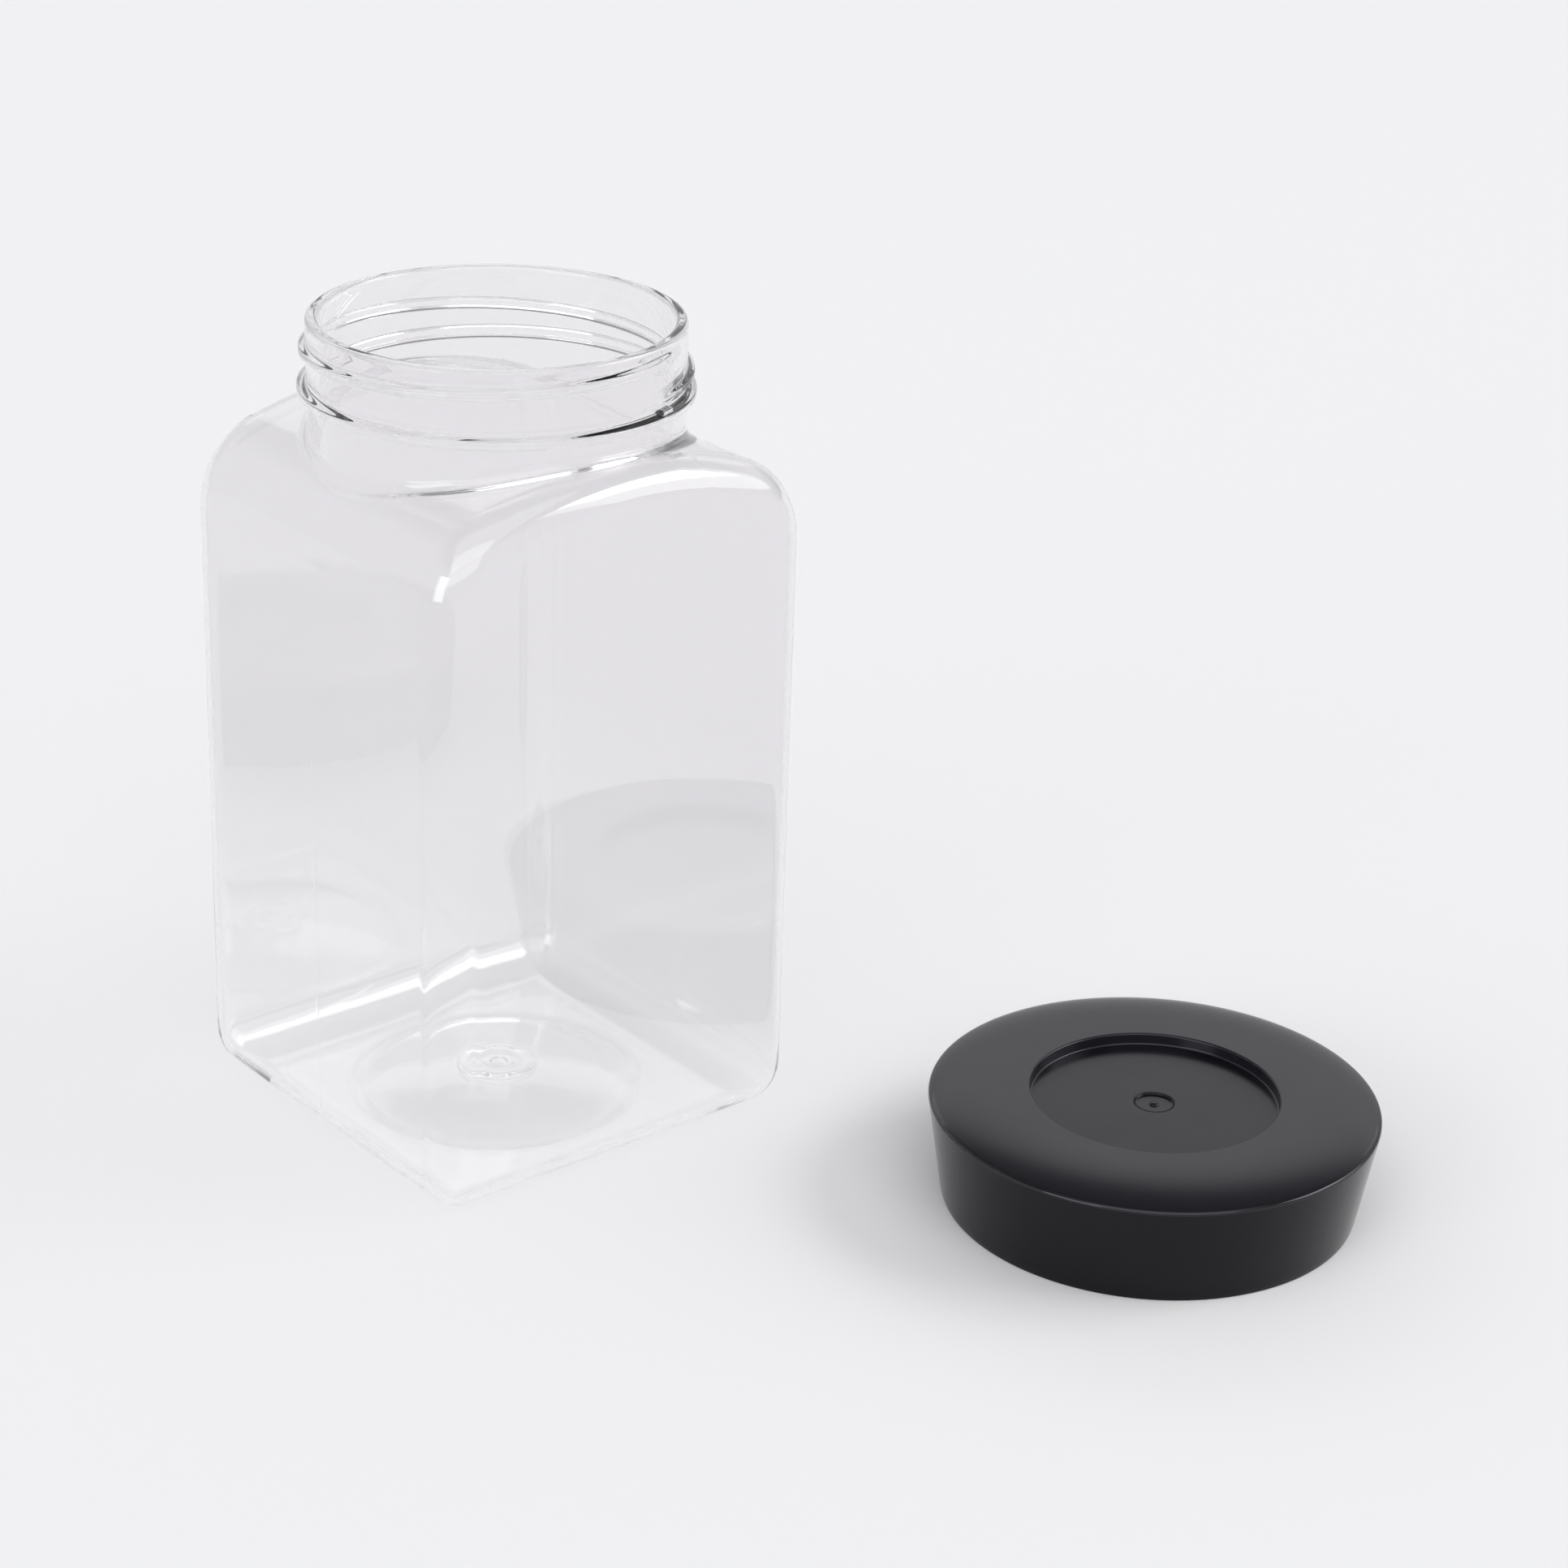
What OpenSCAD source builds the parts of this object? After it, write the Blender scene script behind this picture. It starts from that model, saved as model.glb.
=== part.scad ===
// Square clear jar with a wide screw neck, and its black screw lid set down beside it.
// Millimetres. The jar stands on z = 0 with its neck on the Z axis. Its shoulder is a
// vault: it crests along Y, so the faces at +Y and -Y are arched at the top, and it
// falls away to the lower, level-topped faces at +X and -X.

/* [Jar body] */
// Width between the two low-topped faces, along X
body_w = 103; // [98:1:140]
// Depth between the two arched faces, along Y
body_d = 103; // [98:1:140]
// Height of the shoulder's crest above the table
crest_h = 172.5; // [120:0.5:260]
// How far the shoulder falls from its crest to the top of the low faces
arch_drop = 26.5; // [24:0.5:40]
// Radius where the shoulder turns down into the low faces
side_arc_r = 22; // [16:1:23]
// Radius where the shoulder turns down into the arched faces
crest_edge_r = 8.5; // [4:0.5:12]
// Radius of the upright corners
corner_r = 9; // [5:0.5:14]
// Radius of the bottom edge
heel_r = 12; // [6:0.5:14]
// Thickness of the blown wall
wall = 1.2; // [1:0.1:2.4]

/* [Base] */
// Radius of the push-up under the jar
push_up_r = 33.5; // [24:0.5:34]
// Height of the push-up
push_up_h = 6.5; // [3:0.5:10]
// Radius of the thick disc left by the preform's tip
tip_disc_r = 9; // [6:0.5:12]
// How far the thick disc stands up inside the jar
tip_disc_t = 0.8; // [0.4:0.1:1.5]
// Radius of the gate mark under the base
gate_mark_r = 2; // [1:0.5:3]
// Depth of the gate mark
gate_mark_t = 0.6; // [0.3:0.1:1]

/* [Neck] */
// Outside diameter of the neck, at the root of its thread
neck_od = 86; // [70:0.5:88]
// Thickness of the neck wall
neck_wall = 3; // [2:0.25:4]
// Height of the neck above the shoulder's crest
neck_h = 22.5; // [22.5:0.5:30]
// Rounding of the rim's two edges
rim_r = 0.9; // [0.4:0.1:1]
// How far the thread stands out from the neck
thread_proud = 1.6; // [1.2:0.1:1.8]
// Width of the thread at its root
thread_w = 3.4; // [2.6:0.1:3.6]
// Width of the thread at its crest
thread_crest_w = 1.8; // [1:0.1:2]
// Rise of the thread in one turn
thread_lead = 9.25; // [8.5:0.25:10]
// Turns of thread on the neck
thread_turns = 1.05; // [0.8:0.01:1.08]
// Depth of the thread's start below the rim
thread_start = 3; // [2.5:0.25:3.5]
// Direction in which the thread starts, seen from above
thread_start_angle = 308; // [0:1:359]
// How far the level bead stands out from the neck
bead_proud = 2.1; // [1.8:0.1:2.4]
// Depth of the bead's middle below the rim
bead_depth = 16.25; // [16:0.25:18]
// Width of the bead at its root
bead_w = 3.6; // [2.8:0.1:4]
// Width of the bead at its crest
bead_crest_w = 2.4; // [1.6:0.1:2.6]
// Width of the block that stops the lid's thread, along the neck's edge
stop_w = 5; // [2:0.5:6]

/* [Lid] */
// Thickness of the skirt at the lid's open end
lid_edge_t = 2.8; // [2:0.1:5]
// How much further out the sharp top edge stands than the open end, on the radius
lid_flare = 4; // [0:0.25:6]
// Height of the skirt up to the sharp top edge
lid_skirt_h = 24.8; // [24:0.2:32]
// Rise of the domed top from the sharp edge to the recess
lid_dome_h = 2; // [1:0.1:4]
// Radius of the round recess in the top
recess_r = 29; // [20:0.5:31]
// Depth of the recess
recess_deep = 2.9; // [1:0.1:3.5]
// Radius of the dimple around the moulding gate
dimple_r = 3.6; // [2:0.1:5]
// Depth of that dimple
dimple_deep = 0.5; // [0.2:0.1:0.8]
// Thickness of the lid's top under the recess
panel_t = 2.2; // [1.6:0.1:2.5]
// Turns of thread inside the lid
lid_thread_turns = 0.6; // [0.4:0.05:0.6]
// Gap between the lid and the neck, on the radius
thread_gap = 0.6; // [0.4:0.05:0.8]
// How far the ring that keeps the liner in stands into the lid
keeper_proud = 0.5; // [0.4:0.05:0.6]
// Height of that ring
keeper_h = 1; // [0.8:0.1:1.4]

/* [Liner] */
// Thickness of the foam liner
liner_t = 1.5; // [1:0.1:2]
// Gap between the liner's edge and the lid, on the radius
liner_gap = 0.25; // [0.2:0.01:0.3]

/* [Where the lid is set down] */
// Place of the lid along X
lid_x = 91; // [91:1:160]
// Place of the lid along Y
lid_y = -134; // [-200:1:-134]

/* [Hidden] */
$fn = 96;
EPS = 0.01;
THREAD_STEP = 10;        // degrees between two sections of a thread
THREAD_ROOT = 0.6;       // how deep a thread's section reaches into its wall
THREAD_FADE = 30;        // degrees over which a thread fades in and out
STOP_PAST = 1.5;         // degrees by which the stop block runs on past the thread's end
STOP_REACH = 0.3;        // how far the stop block rises past the thread's underside
KEEPER_PLAY = 0.2;       // room between the liner and the ring that keeps it in
LIP_W = 4;               // width of the level lip around the recess

rim_z = crest_h + neck_h;
spring_z = crest_h - arch_drop;
neck_r = neck_od / 2;
bore_r = neck_r - neck_wall;
base_t = 2 * wall;

// The lid's bore passes the bead, and its thread reaches in under the jar's
lid_bore_r = neck_r + bead_proud + thread_gap;
lid_thread_proud = bead_proud;
lid_foot_r = lid_bore_r + lid_edge_t;
lid_top_r = lid_foot_r + lid_flare;
lid_h = lid_skirt_h + lid_dome_h;
recess_z = lid_h - recess_deep;
dome_mid_r = (lid_top_r + recess_r + LIP_W) / 2;
dome_mid_z = lid_skirt_h + 0.75 * lid_dome_h;
seat_z = recess_z - panel_t;
liner_z = seat_z - liner_t;
liner_r = lid_bore_r - liner_gap;
keeper_z = liner_z - KEEPER_PLAY - keeper_h;
// Closed, the lid's thread runs just under the jar's
lid_thread_z = liner_z - thread_start - thread_w - 0.3;

// Radius of the shallow arc across the shoulder, tangent to both side arcs
function vault_r(half_w, drop, side_r) =
    let (run = half_w - side_r)
    (run * run + drop * drop - side_r * side_r) / (2 * (drop - side_r));

// Upright prism with round corners, in plan
module plan_outline(inset) {
    half_w = body_w / 2 - inset;
    half_d = body_d / 2 - inset;
    round_r = corner_r - inset;
    square([2 * half_w, 2 * (half_d - round_r)], center = true);
    square([2 * (half_w - round_r), 2 * half_d], center = true);
    for (sx = [-1, 1], sy = [-1, 1])
        translate([sx * (half_w - round_r), sy * (half_d - round_r)]) circle(r = round_r);
}

// Front view: round heels at the bottom, a three-arc vault at the top
module arch_outline(inset) {
    half_w = body_w / 2 - inset;
    heel = heel_r - inset;
    side_r = side_arc_r - inset;
    top_z = crest_h - inset;
    big_r = vault_r(half_w, top_z - spring_z, side_r);
    run = half_w - side_r;
    meet_x = run * big_r / (big_r - side_r);
    translate([-half_w, heel_r]) square([2 * half_w, spring_z - heel_r]);
    translate([-(half_w - heel), inset]) square([2 * (half_w - heel), heel + EPS]);
    for (s = [-1, 1]) {
        translate([s * (half_w - heel), heel_r]) circle(r = heel);
        translate([s * run, spring_z]) circle(r = side_r);
    }
    intersection() {
        translate([0, top_z - big_r]) circle(r = big_r, $fn = 4 * $fn);
        translate([-meet_x, spring_z - EPS]) square([2 * meet_x, big_r]);
    }
}

// Side view: round heels at the bottom, a smaller round edge at the crest
module side_outline(inset) {
    half_d = body_d / 2 - inset;
    heel = heel_r - inset;
    edge = crest_edge_r - inset;
    top_z = crest_h - inset;
    translate([-half_d, heel_r]) square([2 * half_d, top_z - edge - heel_r]);
    translate([-(half_d - heel), inset]) square([2 * (half_d - heel), heel + EPS]);
    translate([-(half_d - edge), top_z - edge - EPS]) square([2 * (half_d - edge), edge + EPS]);
    for (s = [-1, 1]) {
        translate([s * (half_d - heel), heel_r]) circle(r = heel);
        translate([s * (half_d - edge), top_z - edge]) circle(r = edge);
    }
}

// The jar's body below the neck, shrunk by inset on every side
module body_block(inset) {
    intersection() {
        linear_extrude(height = crest_h) plan_outline(inset);
        rotate([90, 0, 0]) linear_extrude(height = 2 * body_d, center = true) arch_outline(inset);
        rotate([90, 0, 90]) linear_extrude(height = 2 * body_w, center = true) side_outline(inset);
    }
}

// Shallow hollow under the base: a cone with a flat top
module push_up(grow) {
    rotate_extrude()
        polygon([[0, -1], [push_up_r + grow, -1], [push_up_r + grow, grow],
                 [tip_disc_r + grow, push_up_h + grow], [0, push_up_h + grow]]);
}

// One point of a thread's section: radius and height, turned to its angle
function turned(radius, height, angle) = [radius * cos(angle), radius * sin(angle), height];

// Thread around the Z axis that falls as it turns clockwise, seen from above, from
// start_z. It stands out from the wall by proud. side is 1 for a thread outside the wall, -1 for one inside it.
module thread(wall_r, side, proud, start_z, turns) {
    steps = ceil(turns * 360 / THREAD_STEP);
    sweep = turns * 360;
    points = [for (i = [0 : steps])
        let (done = sweep * i / steps,
             fade = max(0.08, min(1, done / THREAD_FADE, (sweep - done) / THREAD_FADE)),
             angle = thread_start_angle - done,
             z = start_z - thread_lead * done / 360,
             root_r = wall_r - side * THREAD_ROOT,
             tip_r = wall_r + side * proud * fade,
             tip_w = thread_crest_w)
        each [turned(root_r, z - thread_w / 2, angle), turned(tip_r, z - tip_w / 2, angle),
              turned(tip_r, z + tip_w / 2, angle), turned(root_r, z + thread_w / 2, angle)]];
    sides = [for (i = [0 : steps - 1], k = [0 : 3])
        let (a = 4 * i + k, b = 4 * i + (k + 1) % 4)
        each [[a, b, b + 4], [a, b + 4, a + 4]]];
    ends = [[0, 3, 2], [0, 2, 1],
            [4 * steps, 4 * steps + 1, 4 * steps + 2], [4 * steps, 4 * steps + 2, 4 * steps + 3]];
    faces = concat(sides, ends);
    polyhedron(points, side < 0 ? faces : [for (f = faces) [f[0], f[2], f[1]]]);
}

// Neck wall with its rounded rim, drawn from below the shoulder's crest
module neck() {
    foot_z = spring_z;
    rotate_extrude() {
        translate([bore_r - EPS, foot_z]) square([neck_wall + EPS, rim_z - rim_r - foot_z]);
        translate([bore_r + rim_r, rim_z - 2 * rim_r]) square([neck_wall - 2 * rim_r, 2 * rim_r]);
        for (r = [bore_r + rim_r, neck_r - rim_r]) translate([r, rim_z - rim_r]) circle(r = rim_r);
    }
}

// Level bead below the thread
module bead() {
    z = rim_z - bead_depth;
    tip_r = neck_r + bead_proud;
    rotate_extrude()
        polygon([[neck_r - THREAD_ROOT, z - bead_w / 2], [tip_r, z - bead_crest_w / 2],
                 [tip_r, z + bead_crest_w / 2], [neck_r - THREAD_ROOT, z + bead_w / 2]]);
}

// Block between the thread's end and the bead, where the lid's thread comes to a stop
module stop_block() {
    end_angle = thread_start_angle - 360 * thread_turns - STOP_PAST;
    bead_z = rim_z - bead_depth;
    top_z = rim_z - thread_start - thread_lead * thread_turns - thread_w / 2 + STOP_REACH;
    rotate([0, 0, end_angle]) translate([neck_r - THREAD_ROOT, 0, bead_z])
        cube([thread_proud + THREAD_ROOT - 0.1, stop_w, top_z - bead_z]);
}

// Blow-moulded jar: one thin clear shell with its neck, thread and base
module jar_body() {
    color([0.86, 0.89, 0.91, 0.35]) difference() {
        union() {
            difference() {
                body_block(0);
                push_up(0);
            }
            neck();
            bead();
            stop_block();
            thread(neck_r, 1, thread_proud, rim_z - thread_start, thread_turns);
        }
        difference() {
            body_block(wall);
            push_up(base_t);
            cylinder(r = tip_disc_r, h = push_up_h + base_t + tip_disc_t);
        }
        translate([0, 0, spring_z]) cylinder(r = bore_r, h = rim_z - spring_z + 1);
        translate([0, 0, push_up_h - EPS]) cylinder(r = gate_mark_r, h = gate_mark_t + EPS);
    }
}

// Injection-moulded lid: flared skirt, domed top with a round recess, thread inside
module lid_shell() {
    color([0.17, 0.17, 0.18]) translate([lid_x, lid_y, 0]) {
        difference() {
            rotate_extrude()
                polygon([[0, 0], [lid_foot_r, 0], [lid_top_r, lid_skirt_h], [dome_mid_r, dome_mid_z],
                         [recess_r + LIP_W, lid_h], [recess_r, lid_h], [recess_r - 1, recess_z],
                         [0, recess_z]]);
            translate([0, 0, -1]) cylinder(r = lid_bore_r, h = seat_z + 1);
            translate([0, 0, recess_z - dimple_deep]) cylinder(r = dimple_r, h = dimple_deep + 1);
        }
        difference() {
            translate([0, 0, keeper_z]) cylinder(r = lid_bore_r + EPS, h = keeper_h);
            translate([0, 0, keeper_z - 1]) cylinder(r = lid_bore_r - keeper_proud, h = keeper_h + 2);
        }
        thread(lid_bore_r, -1, lid_thread_proud, lid_thread_z, lid_thread_turns);
    }
}

// Foam disc that the lid presses onto the rim
module lid_liner() {
    color("white") translate([lid_x, lid_y, liner_z]) cylinder(r = liner_r, h = liner_t);
}

jar_body();
lid_shell();
lid_liner();
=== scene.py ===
import math

import bpy
import numpy as np
from mathutils import Matrix, Vector


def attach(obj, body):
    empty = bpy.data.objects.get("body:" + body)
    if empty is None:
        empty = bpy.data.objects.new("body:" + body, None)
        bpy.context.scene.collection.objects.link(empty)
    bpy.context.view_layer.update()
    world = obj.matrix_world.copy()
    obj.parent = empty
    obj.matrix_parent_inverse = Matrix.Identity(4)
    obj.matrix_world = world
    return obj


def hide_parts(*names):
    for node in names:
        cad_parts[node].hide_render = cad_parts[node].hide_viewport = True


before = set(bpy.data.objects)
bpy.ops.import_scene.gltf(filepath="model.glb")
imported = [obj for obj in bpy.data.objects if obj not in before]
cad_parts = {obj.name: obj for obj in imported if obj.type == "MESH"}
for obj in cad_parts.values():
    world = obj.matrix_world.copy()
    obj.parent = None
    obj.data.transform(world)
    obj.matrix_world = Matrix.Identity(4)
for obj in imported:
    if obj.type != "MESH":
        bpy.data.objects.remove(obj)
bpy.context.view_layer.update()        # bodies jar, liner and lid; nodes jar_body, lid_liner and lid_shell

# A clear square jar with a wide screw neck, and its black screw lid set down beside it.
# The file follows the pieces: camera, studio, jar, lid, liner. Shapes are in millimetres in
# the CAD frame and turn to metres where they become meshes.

MM = 0.001


# ---- Camera ------------------------------------------------------------------------------
# A long lens at arm's length, above the jar's near corner, tipped down and rolled a little.
# The jar stands left of the middle and the lid lies low on the right.

CAMERA_AT = Vector((-0.46798, -0.65163, 0.43071))
CAMERA_HEADING = 40.536      # degrees clockwise from +Y, seen from above
CAMERA_PITCH = 23.527        # degrees below level
CAMERA_ROLL = 1.956          # degrees
CAMERA_LENS = 84.67          # mm, on a 36 mm sensor

heading, pitch, roll = (math.radians(a) for a in (CAMERA_HEADING, CAMERA_PITCH, CAMERA_ROLL))
forward = Vector((math.sin(heading) * math.cos(pitch), math.cos(heading) * math.cos(pitch),
                  -math.sin(pitch)))
level = Vector((math.cos(heading), -math.sin(heading), 0))
above = level.cross(forward)
right = level * math.cos(roll) + above * math.sin(roll)
up = above * math.cos(roll) - level * math.sin(roll)
camera = bpy.data.objects.new("camera", bpy.data.cameras.new("camera"))
camera.data.sensor_width = 36
camera.data.lens = CAMERA_LENS
camera.data.clip_start, camera.data.clip_end = 0.05, 60
camera.matrix_world = (Matrix.Translation(CAMERA_AT)
                       @ Matrix((right, up, -forward)).transposed().to_4x4())
bpy.context.scene.collection.objects.link(camera)
bpy.context.scene.camera = camera


# ---- Studio ------------------------------------------------------------------------------
# A plain pale table top that runs out of sight, soft boxes around the jar, and a surround
# that is pale round the sides and dim overhead and far to the right. The soft boxes are far
# off and as large as their angle asks, so that they light the whole table evenly.

FLOOR_SIZE = 40.0            # m
FLOOR_COLOR = "#f3f3f4"
SURROUND_COLOR = "#f5f5f7"
SIDE_LIGHT, DIM_LIGHT = 0.85, 0.28
DIM_ABOVE = 0.46, 0.74       # sine of the elevation where the surround starts and ends dimming
DIM_BEYOND = 0.84, 1.12      # and how far towards +X a direction points where it does so
LAMP_DISTANCE = 80.0         # m
# Each soft box: the way to it from the jar, its width and height in degrees, and the share
# of a white table's light that it gives
SOFT_BOXES = {
    "right_box": ((0.62, -0.46, 0.60), (31, 15), 0.10),
    "right_screen": ((0.70, -0.50, 0.46), (42, 37), 0.105),
    "left_strip": ((-0.93, -0.12, 0.28), (28, 26), 0.055),
    "back_screen": ((0.54, 0.65, 0.52), (60, 12), 0.016),
    "front_screen": ((-0.45, -0.62, 0.64), (60, 40), 0.175),
    "top_box": ((-0.22, -0.34, 0.91), (66, 56), 0.24),
}


def linear(code):
    """sRGB hex as linear red, green, blue and 1: each channel by the sRGB curve."""
    c = np.array([int(code[i:i + 2], 16) for i in (1, 3, 5)]) / 255
    return (*np.where(c <= 0.04045, c / 12.92, ((c + 0.055) / 1.055) ** 2.4).tolist(), 1.0)


def node(tree, kind, settings=None, **inputs):
    """Adds one node: settings are its properties; each input is a value for its socket, or an
    output socket to link. An input's name has _ for a space, and a number picks by place."""
    n = tree.nodes.new(kind)
    for key, value in (settings or {}).items():
        setattr(n, key, value)
    for key, value in inputs.items():
        name = key.replace("_", " ")
        socket = n.inputs[int(key[1:])] if key[1:].isdigit() else n.inputs[name]
        if isinstance(value, bpy.types.NodeSocket):
            tree.links.new(value, socket)
        else:
            socket.default_value = value
    return n


def material(name):
    """A new material with an empty node tree and its output node."""
    m = bpy.data.materials.new(name)
    m.use_nodes = True
    m.node_tree.nodes.clear()
    return m, m.node_tree, m.node_tree.nodes.new("ShaderNodeOutputMaterial")


# Matt white paint, rolled on board, so that it shows no gloss
table_paint, tree, out = material("table_paint")
shader = node(tree, "ShaderNodeBsdfDiffuse", Color=linear(FLOOR_COLOR))
tree.links.new(shader.outputs[0], out.inputs[0])

half = FLOOR_SIZE / 2
floor_mesh = bpy.data.meshes.new("table_top")
floor_mesh.from_pydata([(-half, -half, 0), (half, -half, 0), (half, half, 0), (-half, half, 0)],
                       [], [(0, 1, 2, 3)])
floor_mesh.materials.append(table_paint)
floor = bpy.data.objects.new("table_top", floor_mesh)
bpy.context.scene.collection.objects.link(floor)

for name, (way, angles, share) in SOFT_BOXES.items():
    lamp = bpy.data.lights.new(name, "AREA")
    lamp.shape = "RECTANGLE"
    wide, tall = (2 * LAMP_DISTANCE * math.tan(math.radians(a) / 2) for a in angles)
    way = Vector(way).normalized()
    # A lamp of power P sends P / (pi * distance ** 2) straight ahead, and a table that it
    # meets at a slope gives back that times the slope over pi
    lamp.size, lamp.size_y = wide, tall
    lamp.energy = share * math.pi ** 2 * LAMP_DISTANCE ** 2 / way.z
    box = bpy.data.objects.new(name, lamp)
    box.location = way * LAMP_DISTANCE
    box.rotation_euler = way.to_track_quat("Z", "Y").to_euler()
    bpy.context.scene.collection.objects.link(box)

world = bpy.data.worlds.new("surround")
world.use_nodes = True
tree = world.node_tree
sky = node(tree, "ShaderNodeTexCoord")
direction = node(tree, "ShaderNodeSeparateXYZ", Vector=sky.outputs["Generated"])
dim_up, dim_right = (
    node(tree, "ShaderNodeMapRange", {"interpolation_type": "SMOOTHSTEP"},
         Value=direction.outputs[axis], From_Min=start, From_Max=end).outputs[0]
    for axis, (start, end) in (("Z", DIM_ABOVE), ("X", DIM_BEYOND)))
dimming = node(tree, "ShaderNodeMath", {"operation": "MAXIMUM"}, i0=dim_up, i1=dim_right)
strength = node(tree, "ShaderNodeMapRange", Value=dimming.outputs[0], To_Min=SIDE_LIGHT,
                To_Max=DIM_LIGHT)
tree.nodes["Background"].inputs[0].default_value = linear(SURROUND_COLOR)
tree.links.new(strength.outputs[0], tree.nodes["Background"].inputs[1])
scene = bpy.context.scene
scene.world = world
scene.view_settings.view_transform = "Standard"
# Enough for light that crosses the jar's walls, base and thread and is turned back in them
scene.cycles.max_bounces = 28
scene.cycles.transmission_bounces = 24
scene.cycles.glossy_bounces = 24
scene.cycles.transparent_max_bounces = 24
scene.cycles.caustics_refractive = False
scene.cycles.caustics_reflective = False


# ---- Jar ---------------------------------------------------------------------------------
# Blown from a moulded preform in clear PET: one thin glassy skin, with the preform's thick
# threaded neck left as it was moulded. The shoulder is a vault over a square body, and the
# mould's two halves leave a hair line up the middle of the two low sides.

HALF_W = 51.5                # half the width of the body, both ways
CREST_Z, SPRING_Z = 172.5, 146.0
SIDE_R = 22.0                # arc where the vault turns down into the low sides
CORNER_R, HEEL_R = 9.0, 12.0
WALL, HEEL_T, FLOOR_T = 1.2, 1.4, 2.4     # thin by the heel, thick in the middle
NECK_R, BORE_R, RIM_Z, RIM_R = 43.0, 40.0, 195.0, 0.9
THREAD_PROUD, THREAD_W, THREAD_CREST_W = 1.6, 3.4, 1.0
THREAD_START, THREAD_LEAD, THREAD_SWEEP, THREAD_ANGLE = 3.0, 9.25, 378.0, 308.0
THREAD_FADE = 30.0           # degrees
BEAD_PROUD, BEAD_DEPTH, BEAD_W, BEAD_CREST_W = 2.1, 16.25, 3.6, 1.2
STOP_SPAN, STOP_Z, STOP_PROUD = (288.5, 295.2), (178.75, 180.9), 1.5
STOP_SIDE, STOP_TOP = 0.5, 0.3            # its edges' width: degrees at its sides, mm on top
PUSH_R, PUSH_H, PUSH_EDGE = 33.5, 4.6, 8.0
TIP_R, TIP_T, GATE_R, GATE_T = 9.0, 0.5, 2.0, 0.3
GROOVE_R, GROOVE_W, GROOVE_T = 5.1, 0.9, 0.25            # ring pressed into the tip disc
FILLET_R, INNER_FILLET_R = 2.2, 2.6       # where the neck meets the vault
SKIN = 0.13                  # the outside lies this far in, so its ripple stays in its size
RIPPLE_OUT, RIPPLE_IN = 0.015, 0.045      # height of the ripple outside and inside
HAIR_PROUD, HAIR_W = 0.02, 0.3            # the mould's hair line
FAR = 160.0                  # a ray's length, from the axis to well outside the jar
HALVINGS = 36                # enough to place a point to a millionth of a millimetre

arc_x = HALF_W - SIDE_R
drop = CREST_Z - SPRING_Z
crest_r = (arc_x ** 2 + drop ** 2 - SIDE_R ** 2) / (2 * (drop - SIDE_R))
crest_cz = CREST_Z - crest_r


def arch_distance(x, z):
    """Signed distance in the front view to the arched outline: to the upright side below the
    spring line, and above it to the side arc or to the crest's shallow arc, whichever sector
    the point is in, each as the distance from the arc's centre less its radius."""
    x = np.abs(x)
    side_arc = np.hypot(x - arc_x, z - SPRING_Z) - SIDE_R
    crest_arc = np.hypot(x, z - crest_cz) - crest_r
    near_crest = x * (SPRING_Z - crest_cz) < (z - crest_cz) * arc_x
    return np.where(z < SPRING_Z, x - HALF_W, np.where(near_crest, crest_arc, side_arc))


def both(a, b, radius):
    """Signed distance to what two solids share, its edge rounded: max(a, b) away from the
    edge, and near it the length of the two distances measured from the radius in."""
    return (np.minimum(-radius, np.maximum(a, b))
            + np.hypot(np.maximum(a + radius, 0), np.maximum(b + radius, 0)))


def either(a, b, radius):
    """Signed distance to two solids joined, with a fillet of that radius between them."""
    return (np.maximum(radius, np.minimum(a, b))
            - np.hypot(np.maximum(radius - a, 0), np.maximum(radius - b, 0)))


def ripple(x, y, z):
    """Gentle unevenness of the blown skin, in mm: sines of unlike length and direction."""
    return (0.40 * np.sin(x / 11 + 0.8 * np.sin(z / 17) + 1.1) * np.sin(y / 13 - z / 31)
            + 0.35 * np.sin(z / 9.0 + 0.7 * np.sin(x / 15) + y / 21)
            + 0.25 * np.sin((x - y) / 7.5 + z / 23 + 0.4))


def skin(x, y, z, inset, floor_z, neck_r, fillet):
    """Signed distance to the jar's body, shrunk by inset, with its floor at floor_z, joined
    to an upright neck of radius neck_r that stands on the shoulder."""
    side = both(arch_distance(x, z) + inset, np.abs(y) - HALF_W + inset, CORNER_R - inset)
    body = both(side, floor_z - z, HEEL_R - inset)
    return either(body, np.maximum(np.hypot(x, y) - neck_r, SPRING_Z - 20 - z), fillet)


def outside(x, y, z):
    """The jar's outer skin: even but for a faint ripple and the mould's hair line at y = 0."""
    hair = HAIR_PROUD * np.exp(-(y / HAIR_W) ** 2)
    return skin(x, y, z, SKIN + RIPPLE_OUT * ripple(x, y, z) - hair, 0.0, NECK_R, FILLET_R)


def inside(x, y, z):
    """The jar's inner skin, a wall's thickness in, with a stronger ripple."""
    return skin(x, y, z, WALL + SKIN + RIPPLE_IN * ripple(y, x, z), HEEL_T, BORE_R,
                INNER_FILLET_R)


def shoot(skin_of, azimuth, start_z, slope):
    """Where rays from the axis at start_z meet a skin, halving the interval until it is
    found. azimuth is one angle a column, slope the rise angle of each ray [row, column]."""
    low, high = np.zeros_like(slope), np.full_like(slope, FAR)
    for _ in range(HALVINGS):
        middle = (low + high) / 2
        flat = middle * np.cos(slope)
        out = skin_of(flat * np.cos(azimuth), flat * np.sin(azimuth),
                      start_z + middle * np.sin(slope)) > 0
        low, high = np.where(out, low, middle), np.where(out, middle, high)
    flat = low * np.cos(slope)
    return np.stack([flat * np.cos(azimuth), flat * np.sin(azimuth),
                     start_z + low * np.sin(slope)], -1)


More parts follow.
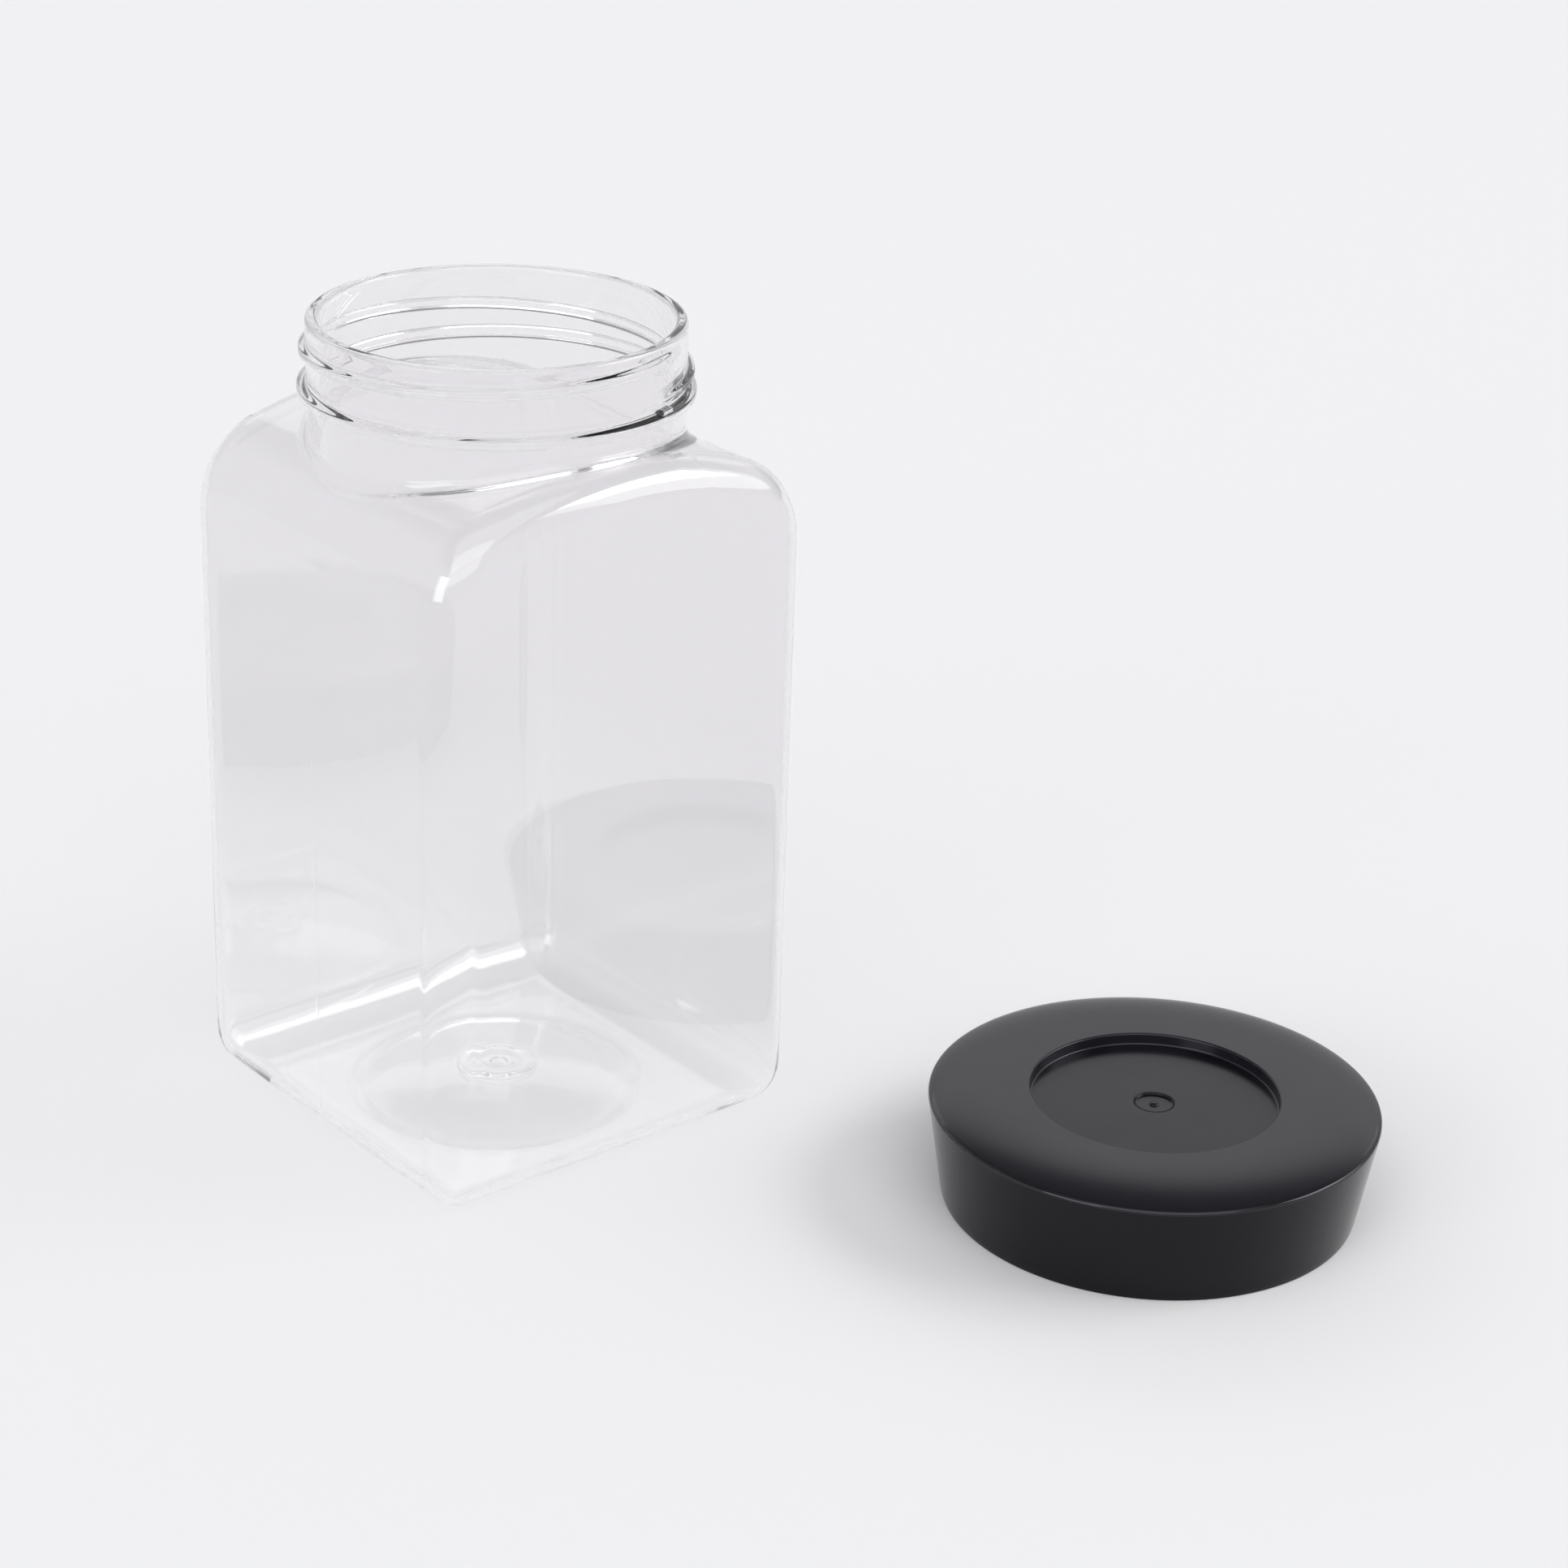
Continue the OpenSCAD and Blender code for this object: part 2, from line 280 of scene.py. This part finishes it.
def between(a, b, rows):
    """Rows of values that run evenly from a to b, one value a column."""
    share = np.linspace(0, 1, rows)[:, None]
    return a + (b - a) * share


def soft_step(value):
    """0 below 0, 1 above 1, and a smooth S between."""
    value = np.clip(value, 0, 1)
    return value * value * (3 - 2 * value)


def ring_rows(radius, height, azimuth):
    """Level rings: radius and height [row] or [row, column], turned to each azimuth."""
    radius = np.broadcast_to(np.atleast_2d(radius.T).T, (radius.shape[0], azimuth.size))
    height = np.broadcast_to(np.atleast_2d(height.T).T, (height.shape[0], azimuth.size))
    return np.stack([radius * np.cos(azimuth), radius * np.sin(azimuth), height], -1)


def push_up(radius, disc_r, disc_h):
    """Height of the base's push-up at a radius: a shallow dome, its height falling with the
    square of the radius, that runs out into the base in a short curve at its rim, with a
    round disc of height disc_h on the middle."""
    rise = PUSH_H * (1 - (radius / (PUSH_R + 1)) ** 2)
    rise = rise * soft_step((PUSH_R + 1 - radius) / PUSH_EDGE)
    return rise + disc_h * soft_step((disc_r + 1 - radius) / 2)


def relief(azimuth, z):
    """How far the neck's outside stands proud: the thread, a ridge whose middle falls by the
    lead in each turn clockwise and fades at both ends; the level bead; and the stop block."""
    turned = (THREAD_ANGLE - np.degrees(azimuth)) % 360
    proud = np.zeros(np.broadcast(azimuth, z).shape)
    slope = (THREAD_W - THREAD_CREST_W) / 2
    for sweep in (turned, turned + 360):
        middle = RIM_Z - THREAD_START - THREAD_LEAD * sweep / 360
        fade = soft_step(sweep / THREAD_FADE) * soft_step((THREAD_SWEEP - sweep) / THREAD_FADE)
        ridge = soft_step((THREAD_W / 2 - np.abs(z - middle)) / slope)
        proud = np.maximum(proud, THREAD_PROUD * fade * ridge)
    bead_slope = (BEAD_W - BEAD_CREST_W) / 2
    bead = soft_step((BEAD_W / 2 - np.abs(z - (RIM_Z - BEAD_DEPTH))) / bead_slope)
    proud = np.maximum(proud, BEAD_PROUD * bead)
    degrees = np.degrees(azimuth) % 360
    stop = (soft_step((degrees - STOP_SPAN[0]) / STOP_SIDE)
            * soft_step((STOP_SPAN[1] - degrees) / STOP_SIDE)
            * (z > STOP_Z[0]) * soft_step((STOP_Z[1] - z) / STOP_TOP))
    return np.maximum(proud, STOP_PROUD * stop)


def closed_skin(name, rows):
    """Mesh object from points [row, column, xyz] in mm. Columns wrap round; the first and the
    last row are single points, so both poles close. Faces turn outwards where rows climb."""
    count, columns = rows.shape[:2]
    rings = count - 2
    points = np.concatenate([rows[:1, 0], rows[1:-1].reshape(-1, 3), rows[-1:, 0]]) * MM
    here = 1 + np.arange(columns)
    there = 1 + (np.arange(columns) + 1) % columns
    step = columns * np.arange(rings - 1)[:, None]
    quads = np.stack([here + step, there + step, there + step + columns,
                      here + step + columns], -1).reshape(-1, 4)
    top = columns * (rings - 1)
    fans = np.concatenate([np.stack([np.zeros_like(here), there, here], -1),
                           np.stack([here + top, there + top,
                                     np.full_like(here, len(points) - 1)], -1)])
    mesh = bpy.data.meshes.new(name)
    mesh.vertices.add(len(points))
    mesh.vertices.foreach_set("co", points.ravel())
    mesh.loops.add(fans.size + quads.size)
    mesh.loops.foreach_set("vertex_index", np.concatenate([fans.ravel(), quads.ravel()]))
    mesh.polygons.add(len(fans) + len(quads))
    mesh.polygons.foreach_set("loop_start", np.concatenate(
        [3 * np.arange(len(fans)), fans.size + 4 * np.arange(len(quads))]))
    mesh.polygons.foreach_set("use_smooth", np.ones(len(fans) + len(quads), bool))
    mesh.update(calc_edges=True)
    mesh.validate()
    made = bpy.data.objects.new(name, mesh)
    bpy.context.scene.collection.objects.link(made)
    return made


# Columns crowd at the corners, at the hair line and at the ends of the stop block
quarter = np.concatenate([[0, 0.2, 0.4, 0.65, 1.2], np.linspace(3, 38.5, 16),
                          np.linspace(39.2, 50.8, 22), np.linspace(51.5, 88.2, 17)])
columns = np.concatenate([quarter, 180 - quarter[1:], 180 + quarter, 360 - quarter[1:]])
for into in (-0.1, 0.25, 0.6):
    columns = np.append(columns, (STOP_SPAN[0] + into, STOP_SPAN[1] - into))
azimuth = np.radians(np.unique(np.round(columns % 360, 3)))

side_r = shoot(outside, azimuth, 80.0, np.zeros((1, azimuth.size)))
wall_r = np.hypot(side_r[..., 0], side_r[..., 1])


def vault_height(skin_of, radius):
    """Height of a skin's vault at a radius: the top of an upright line, by halving."""
    x, y = radius * np.cos(azimuth), radius * np.sin(azimuth)
    low, high = np.full_like(x, 100.0), np.full_like(x, 185.0)
    for _ in range(HALVINGS):
        middle = (low + high) / 2
        out = skin_of(x, y, middle) > 0
        low, high = np.where(out, low, middle), np.where(out, middle, high)
    return low[None]


def bare(skin_inset):
    """The body alone, with no neck, shrunk by that much."""
    return lambda x, y, z: both(arch_distance(x, z) + skin_inset,
                                np.abs(y) - HALF_W + skin_inset, CORNER_R - skin_inset)


def body_rows(skin_of, inset, foot_r, foot_z, neck_r, counts):
    """Rows of one skin from the rim of its push-up to just above the vault: round the heel,
    up the wall, over the shoulder and through the fillet at the neck, as many in each as
    counts says. Gives them and the height where the last row lies."""
    heel_n, wall_n, shoulder_n, fillet_n = counts
    low_z, mid_z = 15.0, 138.0             # where the straight wall starts and ends
    high_z = 3.4                           # how far above the vault the last row lies
    spine_low, spine_high = 60.0, 118.0    # where on the axis the rays start
    near = 4.0                             # how far out from the neck the fillet's rows start
    w = wall_r - inset
    heel = shoot(skin_of, azimuth, spine_low, between(
        np.full_like(w, np.arctan2(foot_z - spine_low, foot_r)),
        np.arctan2(low_z - spine_low, w), heel_n))
    levels = np.linspace(low_z, mid_z, wall_n + 2)[1:-1, None]
    flat = np.zeros((wall_n, azimuth.size))
    walls = np.stack([shoot(skin_of, azimuth, z, flat[:1])[0] for z in levels[:, 0]])
    top = vault_height(bare(inset), neck_r + near)
    join = vault_height(bare(inset), neck_r)
    turn = np.arctan2(top - spine_high, neck_r + near)
    shoulder = shoot(skin_of, azimuth, spine_high,
                     between(np.arctan2(mid_z - spine_high, w), turn, shoulder_n))
    fillet = shoot(skin_of, azimuth, spine_high, between(
        turn, np.arctan2(join + high_z - spine_high, neck_r), fillet_n + 1)[1:])
    return [heel, walls, shoulder, fillet], join + high_z


flat_z, top_z = 176.3, RIM_Z - RIM_R       # the neck's plain rows lie between these
outer_parts, outer_join = body_rows(outside, SKIN, PUSH_R + 1.5, 0.0, NECK_R, (20, 22, 40, 14))
inner_parts, inner_join = body_rows(inside, WALL + SKIN, PUSH_R + 3.5, HEEL_T, BORE_R,
                                    (16, 16, 28, 12))

# Rings under the base and then in it, which crowd at the gate mark, the groove and the edges
# of the tip disc and the push-up
base_r = np.concatenate([[0, 1.0, 1.8, 2.0, 2.3, 3.2, 4.4, 6, 8, 8.8, 9.6, 11],
                         np.linspace(13.5, 30, 6), np.linspace(31.2, PUSH_R + 1.0, 7)])
base_z = push_up(base_r, 0, 0) + GATE_T * soft_step((GATE_R + 0.1 - base_r) / 0.4)
well_r = np.concatenate([np.linspace(PUSH_R + 3.0, 31.5, 7), np.linspace(29.5, 12, 7),
                         [10.6, 9.8, 9.3, 8.9, 8.4, 7.4, 6.1, 5.5, 5.1, 4.7, 4.1, 2.6, 1.2, 0]])
well_z = (HEEL_T + (FLOOR_T - HEEL_T) * soft_step((PUSH_R + 3 - well_r) / 12)
          + push_up(well_r - 2.0, TIP_R - 2.0, TIP_T)
          - GROOVE_T * np.exp(-((well_r - GROOVE_R) / GROOVE_W) ** 2))

levels = np.linspace(flat_z, top_z, 122)[:, None]
neck_foot = between(outer_join, np.full_like(outer_join, flat_z), 9)[1:-1]
quarter_turn = np.radians(np.linspace(0, 90, 6))[1:]
rim_out = (NECK_R - RIM_R + RIM_R * np.cos(quarter_turn), top_z + RIM_R * np.sin(quarter_turn))
rim_in = (BORE_R + RIM_R - RIM_R * np.sin(quarter_turn), top_z + RIM_R * np.cos(quarter_turn))
rim_mid = np.linspace(NECK_R - RIM_R, BORE_R + RIM_R, 4)[1:]
bore_foot = between(np.full_like(inner_join, top_z), inner_join, 16)[1:-1]

jar_rows = np.concatenate([
    ring_rows(base_r, base_z, azimuth),
    *outer_parts,
    ring_rows(np.full_like(neck_foot, NECK_R), neck_foot, azimuth),
    ring_rows(NECK_R + relief(azimuth[None], levels), np.broadcast_to(
        levels, (levels.size, azimuth.size)), azimuth),
    ring_rows(*rim_out, azimuth),
    ring_rows(rim_mid, np.full_like(rim_mid, RIM_Z), azimuth),
    ring_rows(*rim_in, azimuth),
    ring_rows(np.full_like(bore_foot, BORE_R), bore_foot, azimuth),
    *[part[::-1] for part in inner_parts[::-1]],
    ring_rows(well_r, well_z, azimuth),
])
jar = closed_skin("clear_jar", jar_rows)

# Clear PET, blown against polished steel: it bends light more than glass does, its skin is
# glossy with the faintest orange peel, and it takes little from the light. It was stretched
# least at the shoulder, so it is thicker there and lets a shade less light through to the
# table. Its colour greys from the base up to the shoulder, partly for that thicker skin and
# mostly as painted shade: the base drawn whiter and the upper walls greyer stand for the
# light that the walls turn down onto the base.
PET_LOW_COLOR, PET_HIGH_COLOR = "#ffffff", "#f7f6f7"
PET_LOW_SHADE, PET_HIGH_SHADE = "#fefefe", "#f5f5f6"     # what one face lets through to the table
PET_GREY_FROM, PET_GREY_TO = 6.0, 90.0                   # heights between which it greys
PET_IOR = 1.57
PET_ROUGHNESS = 0.015
PEEL_MM, PEEL_DEPTH_MM = 6.0, 0.03                       # width and depth of the orange peel

clear_pet, tree, out = material("clear_blown_pet")
place = node(tree, "ShaderNodeTexCoord")
peel = node(tree, "ShaderNodeTexNoise", Vector=place.outputs["Object"],
            Scale=1 / (PEEL_MM * MM), Detail=1.0, Roughness=0.4)
bump = node(tree, "ShaderNodeBump", Height=peel.outputs[0], Strength=0.06,
            Distance=PEEL_DEPTH_MM * MM)
split = node(tree, "ShaderNodeSeparateXYZ", Vector=place.outputs["Object"])
grey = node(tree, "ShaderNodeMapRange", Value=split.outputs["Z"],
            From_Min=PET_GREY_FROM * MM, From_Max=PET_GREY_TO * MM)
# The body's colour greys towards the shoulder: painted shade on the upper walls, standing for the light
# that the walls turn down onto the base
tint_with_painted_shade = node(tree, "ShaderNodeMix", {"data_type": "RGBA"}, i0=grey.outputs[0],
            i6=linear(PET_LOW_COLOR), i7=linear(PET_HIGH_COLOR))
shade = node(tree, "ShaderNodeMix", {"data_type": "RGBA"}, i0=grey.outputs[0],
             i6=linear(PET_LOW_SHADE), i7=linear(PET_HIGH_SHADE))
shader = node(tree, "ShaderNodeBsdfPrincipled", Base_Color=tint_with_painted_shade.outputs[2], IOR=PET_IOR,
              Roughness=PET_ROUGHNESS, Transmission_Weight=1.0, Normal=bump.outputs[0])
path = node(tree, "ShaderNodeLightPath")
straight = node(tree, "ShaderNodeMath", {"operation": "MAXIMUM"},
                i0=path.outputs["Is Shadow Ray"], i1=path.outputs["Is Diffuse Ray"])
through = node(tree, "ShaderNodeBsdfTransparent", Color=shade.outputs[2])
mix = node(tree, "ShaderNodeMixShader", i0=straight.outputs[0],
           i1=shader.outputs[0], i2=through.outputs[0])
tree.links.new(mix.outputs[0], out.inputs[0])

jar.data.materials.append(clear_pet)
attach(jar, "jar")
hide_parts("jar_body")


# ---- Lid ---------------------------------------------------------------------------------
# Injection moulded in black polypropylene: a skirt that flares up to a crisp shiny parting
# line, a soft dome with a fine satin texture, and a round recess with the gate's dimple.

LID_X, LID_Y = 91.0, -134.0
LID_BORE_R, LID_FOOT_R, LID_TOP_R = 45.7, 48.5, 52.5
LID_EDGE_Z, LID_H, RECESS_R, RECESS_Z = 24.8, 26.8, 29.0, 23.9
SEAT_Z, LINER_T = 21.7, 1.5
LID_THREAD_PROUD, LID_THREAD_SWEEP = 2.1, 216.0
KEEPER_PROUD, KEEPER_H = 0.5, 1.0
FOOT_ARC_R, EDGE_ARC_R, LIP_ARC_R, DIMPLE_ARC_R = 0.45, 0.8, 0.5, 0.6
TRIM = 0.02                  # the lid's top and the liner lie this far in

lid_azimuth = np.radians(np.linspace(0, 360, 288, endpoint=False))


def arc(center, radius, start, end, count):
    """Radius and height of points on an arc about center, from start to end degrees."""
    a = np.radians(np.linspace(start, end, count))
    return np.stack([center[0] + radius * np.cos(a), center[1] + radius * np.sin(a)], -1)


def line(start, end, count):
    """Points on a straight line, without its start."""
    share = np.linspace(0, 1, count + 1)[1:, None]
    return np.array(start) * (1 - share) + np.array(end) * share


def eased(start, middle, end, count):
    """Points on a curve that leaves start towards middle and comes into end from it."""
    t = np.linspace(0, 1, count + 1)[1:, None]
    return ((1 - t) ** 2 * np.array(start) + 2 * t * (1 - t) * np.array(middle)
            + t ** 2 * np.array(end))


# Outside, from the foot to the middle of the recess
crown_z = LID_H - TRIM
foot = np.concatenate([
    line((LID_BORE_R + 0.5, 0.0), (LID_FOOT_R - 0.5, 0.0), 5),
    arc((LID_FOOT_R - FOOT_ARC_R, FOOT_ARC_R), FOOT_ARC_R, -75, -9, 5),
])
skirt = line((LID_FOOT_R + 0.07, 0.42), (LID_TOP_R - 0.03, LID_EDGE_Z - 0.9), 26)
parting = arc((LID_TOP_R - EDGE_ARC_R, LID_EDGE_Z - 0.65), EDGE_ARC_R, -9, 66, 8)
dome = np.concatenate([
    eased((LID_TOP_R - 0.475, LID_EDGE_Z + 0.08), (47.2, crown_z),
          (RECESS_R + 4.5, crown_z), 26),
    line((RECESS_R + 4.5, crown_z), (RECESS_R + 0.7, crown_z), 5),
])
lip = arc((RECESS_R + LIP_ARC_R, crown_z - LIP_ARC_R), LIP_ARC_R, 85, 172, 7)
corner = arc((RECESS_R - 0.45, RECESS_Z + LIP_ARC_R), LIP_ARC_R, -6, -90, 7)
# The recess's floor, then the gate's dimple with the gate's nib in it
recess = np.concatenate([
    line((RECESS_R - 0.5, RECESS_Z), (5.2, RECESS_Z), 10),
    arc((4.2, RECESS_Z - DIMPLE_ARC_R), DIMPLE_ARC_R, 75, 20, 4),
    eased((4.5, RECESS_Z - 0.4), (3.4, RECESS_Z - 0.5), (1.3, RECESS_Z - 0.5), 6),
    [(1.15, RECESS_Z - 0.48), (1.0, RECESS_Z - 0.15), (0.6, RECESS_Z - 0.05), (0, RECESS_Z)],
])
outer = np.concatenate([foot, skirt, parting, dome, lip, corner, recess])

# Inside, from the middle of the seat to the foot, with the keeper ring and the thread
liner_z = SEAT_Z - LINER_T
keeper_top = liner_z - 0.2
seat = line((0.0, SEAT_Z), (LID_BORE_R, SEAT_Z), 12)
inner_z = np.linspace(SEAT_Z, 0.3, 86)[1:]
keeper = KEEPER_PROUD * soft_step((KEEPER_H / 2 + 0.15 - np.abs(
    inner_z - keeper_top + KEEPER_H / 2)) / 0.3)
turned = (THREAD_ANGLE - np.degrees(lid_azimuth)) % 360
thread_top = liner_z - THREAD_START - THREAD_W - 0.3
thread_z = thread_top - THREAD_LEAD * turned / 360
fade = soft_step(turned / THREAD_FADE) * soft_step((LID_THREAD_SWEEP - turned) / THREAD_FADE)
ridge = fade * LID_THREAD_PROUD * soft_step(
    (THREAD_W / 2 - np.abs(inner_z[:, None] - thread_z)) / ((THREAD_W - THREAD_CREST_W) / 2))
bore = LID_BORE_R - np.maximum(keeper[:, None], ridge)

lid_rows = np.concatenate([
    ring_rows(np.array([0.0]), np.array([SEAT_Z]), lid_azimuth),
    ring_rows(seat[:, 0], seat[:, 1], lid_azimuth),
    ring_rows(bore, np.broadcast_to(inner_z[:, None], bore.shape), lid_azimuth),
    ring_rows(outer[:, 0], outer[:, 1], lid_azimuth),
])
lid_rows[..., 0] += LID_X
lid_rows[..., 1] += LID_Y
lid = closed_skin("black_lid", lid_rows)

# Black polypropylene, whose sheen is waxy. The ring's steel was spark-eroded, so it spreads
# its sheen wide and looks greyer; the recess is a touch rougher, and its weaker sheen is
# painted shade; the skirt's steel was polished, so it is smoother, and its darker colour and
# weaker sheen are painted shade; and the mould's halves meet at the edge, which came out
# glossy and smoother, and whose stronger sheen is a painted highlight that makes it catch a
# thin bright line. The real grit is about 0.1 mm; it is drawn at 0.35 mm so that it shows.
GRIT_MM = 0.35
MARKS_PER_METRE = 60.0       # marks of handling, so about 17 mm across
MARKS_VARY = 0.04            # how much rougher or smoother the plastic is in them
# The sheen's faint blue is painted light: it stands for the bluish light that the lid reflects
PAINTED_SHEEN_TINT = "#f3f1ff"      # a faintly blue sheen
FINISHES = {     # colour, roughness, specular level, depth of the grit in mm
    "satin_black_polypropylene": ("#0e0d12", 0.22, 0.47, 0.018),
    "smooth_shaded_black_polypropylene": ("#0a0a0c", 0.13, 0.25, 0.005),
    "dull_shaded_black_polypropylene": ("#0e0d12", 0.25, 0.36, 0.018),
    "glossy_highlit_black_polypropylene": ("#0a0a0c", 0.09, 0.55, 0.003),
}
SMOOTH, DULL, GLOSSY = 1, 2, 3             # their places in the list; satin's is 0

for name, (color, roughness, specular, depth) in FINISHES.items():
    black_pp, tree, out = material(name)
    place = node(tree, "ShaderNodeTexCoord")
    grit = node(tree, "ShaderNodeTexNoise", Vector=place.outputs["Object"],
                Scale=1 / (GRIT_MM * MM), Detail=2.0, Roughness=0.6)
    marks = node(tree, "ShaderNodeTexNoise", Vector=place.outputs["Object"],
                 Scale=MARKS_PER_METRE, Detail=3.0, Roughness=0.6)
    wear = node(tree, "ShaderNodeMapRange", Value=marks.outputs[0],
                To_Min=roughness - MARKS_VARY, To_Max=roughness + MARKS_VARY)
    bump = node(tree, "ShaderNodeBump", Height=grit.outputs[0], Strength=0.25,
                Distance=depth * MM)
    shader = node(tree, "ShaderNodeBsdfPrincipled", Base_Color=linear(color),
                  Roughness=wear.outputs[0], IOR=1.49, Specular_IOR_Level=specular,
                  Specular_Tint=linear(PAINTED_SHEEN_TINT), Normal=bump.outputs[0])
    tree.links.new(shader.outputs[0], out.inputs[0])
    lid.data.materials.append(black_pp)

# The polygons are the fans of the inner and the outer pole and then the quads, row by row,
# so those above a row start at the row's number and one more, times the columns. The edge is
# glossy from the parting line's first row to the dome's second, and the recess is dull from
# the foot of its lower corner.
per_row = lid_azimuth.size
edge_row = 1 + len(seat) + len(bore) + len(foot) + len(skirt)
dome_row = edge_row + len(parting) + 1
recess_row = edge_row + len(parting) + len(dome) + len(lip) + len(corner) - 1
# The skirt's darker colour and weaker sheen and the recess's weaker sheen are painted shade; the edge's
# stronger sheen is a painted highlight
finish = np.zeros(len(lid.data.polygons), np.int32)
finish[:per_row] = SMOOTH
finish[per_row:2 * per_row] = DULL
finish[2 * per_row:per_row * (dome_row + 1)] = SMOOTH
finish[per_row * (edge_row + 1):per_row * (dome_row + 1)] = GLOSSY
finish[per_row * (recess_row + 1):] = DULL
lid.data.polygons.foreach_set("material_index", finish)
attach(lid, "lid")
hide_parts("lid_shell")


# ---- Liner -------------------------------------------------------------------------------
# A loose disc of white polyethylene foam under the lid's top, die cut, so its edge is square
# with a hair of rounding. The rim has pressed a shallow ring into its underside.

LINER_R, LINER_EDGE_R = 45.45, 0.25
PRESS_T, PRESS_EDGE = 0.12, 0.8           # depth of the pressed ring, and its edges' width

under_r = np.concatenate([np.linspace(0, 38.6, 10), np.linspace(39.2, 44.0, 17), [44.7]])
under_z = liner_z + TRIM + PRESS_T * (soft_step((under_r - (BORE_R - 0.4)) / PRESS_EDGE)
                                      * soft_step((NECK_R + 0.6 - under_r) / PRESS_EDGE))
edge_inset = TRIM + LINER_EDGE_R
edge = arc((LINER_R - LINER_EDGE_R, liner_z + edge_inset), LINER_EDGE_R, -80, 0, 5)
edge_top = arc((LINER_R - LINER_EDGE_R, SEAT_Z - edge_inset), LINER_EDGE_R, 0, 80, 5)
over_r = np.linspace(LINER_R - 0.4, 0, 10)
liner_rows = np.concatenate([
    ring_rows(under_r, under_z, lid_azimuth),
    ring_rows(edge[:, 0], edge[:, 1], lid_azimuth),
    ring_rows(edge_top[:, 0], edge_top[:, 1], lid_azimuth),
    ring_rows(over_r, np.full_like(over_r, SEAT_Z - TRIM), lid_azimuth),
])
liner_rows[..., 0] += LID_X
liner_rows[..., 1] += LID_Y
liner = closed_skin("foam_liner", liner_rows)

# White polyethylene foam, blown and sliced into sheet: matt, with closed cells of about
# 0.4 mm that pit its face
FOAM_COLOR = "#eceae4"
CELL_MM, CELL_DEPTH_MM = 0.4, 0.08

white_foam, tree, out = material("white_polyethylene_foam")
place = node(tree, "ShaderNodeTexCoord")
cells = node(tree, "ShaderNodeTexVoronoi", Vector=place.outputs["Object"],
             Scale=1 / (CELL_MM * MM))
bump = node(tree, "ShaderNodeBump", Height=cells.outputs["Distance"], Strength=0.4,
            Distance=CELL_DEPTH_MM * MM)
shader = node(tree, "ShaderNodeBsdfPrincipled", Base_Color=linear(FOAM_COLOR), Roughness=0.6,
              IOR=1.5, Normal=bump.outputs[0])
tree.links.new(shader.outputs[0], out.inputs[0])

liner.data.materials.append(white_foam)
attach(liner, "liner")
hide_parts("lid_liner")
